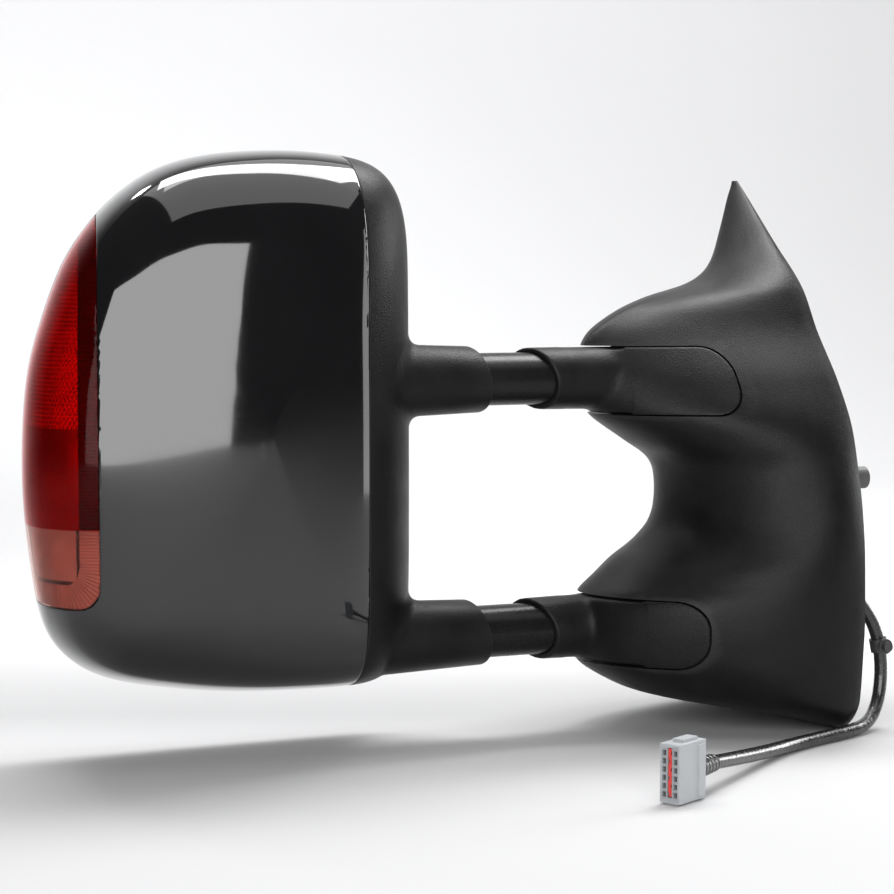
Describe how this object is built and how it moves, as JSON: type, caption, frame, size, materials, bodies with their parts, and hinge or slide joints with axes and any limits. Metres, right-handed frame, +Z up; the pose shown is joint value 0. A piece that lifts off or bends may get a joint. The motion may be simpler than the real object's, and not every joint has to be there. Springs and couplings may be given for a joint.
{
  "type": "towing mirror",
  "caption": "Door-mounted towing mirror on two telescoping tubes: folding arms, gloss-capped head with a red side lens, an adjustable upper glass and a convex lower glass.",
  "frame": {"origin": "on the door gasket's face, level with the middle of the base's height and on the line of the tubes", "axes": "+X inboard into the door, +Y rearward (the side the glass faces), +Z up"},
  "size_m": [0.5844, 0.3232, 0.3953],
  "materials": {
    "textured_black": "fine moulded grain, matte black",
    "gloss_black": "high-gloss black",
    "red_lens": "clear-coated red signal lens",
    "reflector_silver": "vacuum-metallised",
    "board_green": "lacquered circuit board",
    "led_yellow": "phosphor under clear resin",
    "cast_alloy": "die-cast, black e-coated",
    "black_steel": "satin black powder coat over steel",
    "zinc_steel": "zinc plated",
    "brass": "turned brass",
    "foam": "closed-cell foam",
    "black_rubber": "moulded rubber",
    "nylon_white": "natural nylon",
    "nylon_black": "black nylon",
    "mirror_glass": "silvered glass",
    "heater_film": "etched heater film",
    "cable_sleeve": "soft PVC sleeve",
    "connector_grey": "light grey moulded nylon",
    "lock_red": "red wedge lock",
    "motor_steel": "plated steel can"
  },
  "bodies": {
    "base": {"base_cover": "textured_black", "base_frame": "cast_alloy", "door_gasket": "foam", "mount_inserts": "brass", "cover_screws": "zinc_steel", "upper_pivot_pin": "zinc_steel", "lower_pivot_pin": "zinc_steel", "pivot_spring_washers": "zinc_steel", "pivot_nuts": "zinc_steel", "thrust_washers": "nylon_white", "cable_grommet": "black_rubber", "harness_cable": "cable_sleeve", "connector_housing": "connector_grey", "connector_lock": "lock_red", "connector_terminals": "brass", "cable_wrap": "cable_sleeve", "cable_clip": "nylon_black"},
    "arms": {"upper_arm": "textured_black", "lower_arm": "textured_black", "pivot_bushes": "nylon_white", "upper_tube": "black_steel", "lower_tube": "black_steel", "tube_end_plugs": "nylon_black", "arm_set_screws": "zinc_steel"},
    "head": {"head_housing": "textured_black", "skull_cap": "gloss_black", "signal_lens": "red_lens", "signal_reflector": "reflector_silver", "signal_board": "board_green", "signal_leds": "led_yellow", "head_frame": "cast_alloy", "tube_guide_bushes": "nylon_white", "actuator_housing": "nylon_black", "actuator_cover": "nylon_black", "actuator_motors": "motor_steel", "actuator_screws": "zinc_steel", "spot_bracket": "nylon_black"},
    "tilt_rod": {"tilt_jack_rod": "nylon_white"},
    "turn_rod": {"turn_jack_rod": "nylon_white"},
    "main_joint": {"main_gimbal": "nylon_black"},
    "main_mirror": {"main_backplate": "nylon_black", "heater_pad": "heater_film", "main_glass": "mirror_glass"},
    "spot_joint": {"spot_gimbal": "nylon_black"},
    "spot_mirror": {"spot_backplate": "nylon_black", "spot_glass": "mirror_glass"}
  },
  "joints": [
    {"name": "fold", "type": "hinge", "parent": "base", "child": "arms", "pos_m": [-0.122, 0.008, -0.0412], "axis": [0, 0, -1], "range_deg": [0, 70]},
    {"name": "extend", "type": "slide", "parent": "arms", "child": "head", "axis": [-1, 0, 0], "range_m": [-0.034, 0.055]},
    {"name": "glass_tilt", "type": "hinge", "parent": "head", "child": "main_joint", "pos_m": [-0.413, 0.036, 0.074], "axis": [1, 0, 0], "range_deg": [-7, 7]},
    {"name": "glass_turn", "type": "hinge", "parent": "main_joint", "child": "main_mirror", "pos_m": [-0.413, 0.036, 0.074], "axis": [0, 0, 1], "range_deg": [-7, 7]},
    {"name": "tilt_rod_travel", "type": "slide", "parent": "head", "child": "tilt_rod", "axis": [0, 1, 0], "range_m": [-0.0038, 0.0038]},
    {"name": "turn_rod_travel", "type": "slide", "parent": "head", "child": "turn_rod", "axis": [0, 1, 0], "range_m": [-0.0033, 0.0033]},
    {"name": "spot_tilt", "type": "hinge", "parent": "head", "child": "spot_joint", "pos_m": [-0.413, 0.036, -0.102], "axis": [1, 0, 0], "range_deg": [-6, 6]},
    {"name": "spot_turn", "type": "hinge", "parent": "spot_joint", "child": "spot_mirror", "pos_m": [-0.413, 0.036, -0.102], "axis": [0, 0, 1], "range_deg": [-6, 6]}
  ],
  "couplings": [
    {"joint": "tilt_rod_travel", "follows": "glass_tilt", "m_per_rad": -0.03},
    {"joint": "turn_rod_travel", "follows": "glass_turn", "m_per_rad": 0.026}
  ]
}
